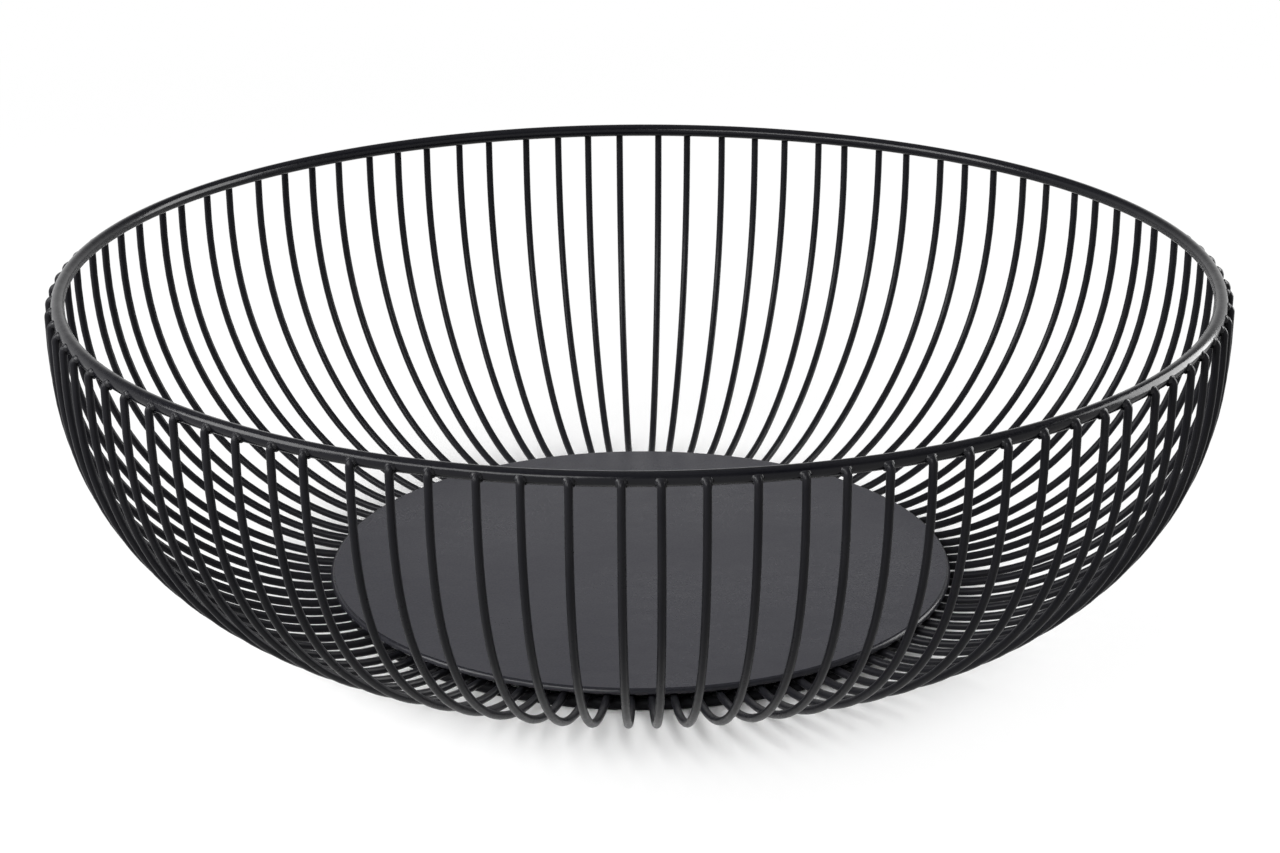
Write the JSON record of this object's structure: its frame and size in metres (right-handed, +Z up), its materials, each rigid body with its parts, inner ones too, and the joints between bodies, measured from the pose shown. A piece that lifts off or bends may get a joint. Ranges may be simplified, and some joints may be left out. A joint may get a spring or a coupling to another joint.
{
  "type": "wire fruit bowl",
  "caption": "Round wire bowl: bent rib wires welded from a rim ring down and in under a flat round base plate, on a foot ring.",
  "frame": {"origin": "on the bowl's axis, on the surface that the foot ring stands on", "axes": "+Z up along the bowl's axis of symmetry; -Y faces the picture's viewpoint, +X is to its right"},
  "size_m": [0.3008, 0.3006, 0.0882],
  "materials": {
    "rim_coat": "satin black powder coat with a soft gloss",
    "foot_coat": "satin black powder coat",
    "plate_coat": "fine matt dark grey powder coat",
    "rib_coat": "satin black powder coat"
  },
  "bodies": {
    "root": {"rim_ring": "rim_coat", "foot_ring": "foot_coat", "base_plate": "plate_coat", "rib_wire_01": "rib_coat", "rib_wire_02": "rib_coat", "rib_wire_03": "rib_coat", "rib_wire_04": "rib_coat", "rib_wire_05": "rib_coat", "rib_wire_06": "rib_coat", "rib_wire_07": "rib_coat", "rib_wire_08": "rib_coat", "rib_wire_09": "rib_coat", "rib_wire_10": "rib_coat", "rib_wire_11": "rib_coat", "rib_wire_12": "rib_coat", "rib_wire_13": "rib_coat", "rib_wire_14": "rib_coat", "rib_wire_15": "rib_coat", "rib_wire_16": "rib_coat", "rib_wire_17": "rib_coat", "rib_wire_18": "rib_coat", "rib_wire_19": "rib_coat", "rib_wire_20": "rib_coat", "rib_wire_21": "rib_coat", "rib_wire_22": "rib_coat", "rib_wire_23": "rib_coat", "rib_wire_24": "rib_coat", "rib_wire_25": "rib_coat", "rib_wire_26": "rib_coat", "rib_wire_27": "rib_coat", "rib_wire_28": "rib_coat", "rib_wire_29": "rib_coat", "rib_wire_30": "rib_coat", "rib_wire_31": "rib_coat", "rib_wire_32": "rib_coat", "rib_wire_33": "rib_coat", "rib_wire_34": "rib_coat", "rib_wire_35": "rib_coat", "rib_wire_36": "rib_coat", "rib_wire_37": "rib_coat", "rib_wire_38": "rib_coat", "rib_wire_39": "rib_coat", "rib_wire_40": "rib_coat", "rib_wire_41": "rib_coat", "rib_wire_42": "rib_coat", "rib_wire_43": "rib_coat", "rib_wire_44": "rib_coat", "rib_wire_45": "rib_coat", "rib_wire_46": "rib_coat", "rib_wire_47": "rib_coat"}
  },
  "joints": []
}
